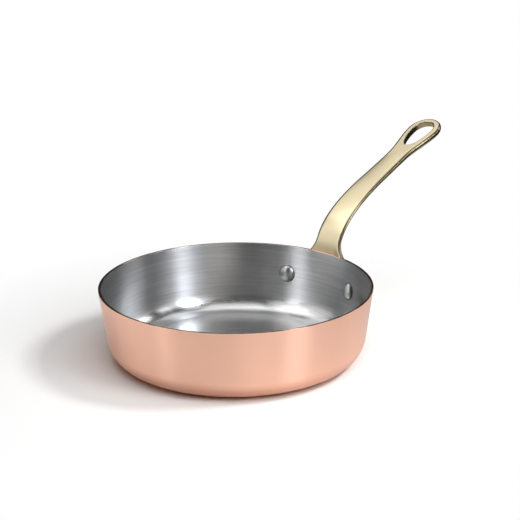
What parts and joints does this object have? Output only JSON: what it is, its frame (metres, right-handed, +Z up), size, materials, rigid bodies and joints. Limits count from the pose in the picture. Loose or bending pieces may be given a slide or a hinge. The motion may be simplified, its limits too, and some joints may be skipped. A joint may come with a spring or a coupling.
{
  "type": "small copper pan",
  "caption": "Low round pan with a copper outside, a brushed steel lining and a long curved brass handle, riveted to the wall and ending in a hanging loop.",
  "frame": {"origin": "centre of the base, on the surface that the pan stands on", "axes": "+Z up along the pan's axis, +X along the handle away from the pan, +Y to its left"},
  "size_m": [0.2012, 0.12, 0.0824],
  "materials": {
    "copper": "satin copper, finely brushed",
    "lining_steel": "brushed round the axis",
    "handle_brass": "polished casting",
    "rivet_steel": "bright, slightly hammered"
  },
  "bodies": {
    "root": {"copper_shell": "copper", "steel_lining": "lining_steel", "handle": "handle_brass", "rivet_left": "rivet_steel", "rivet_right": "rivet_steel"}
  },
  "joints": []
}
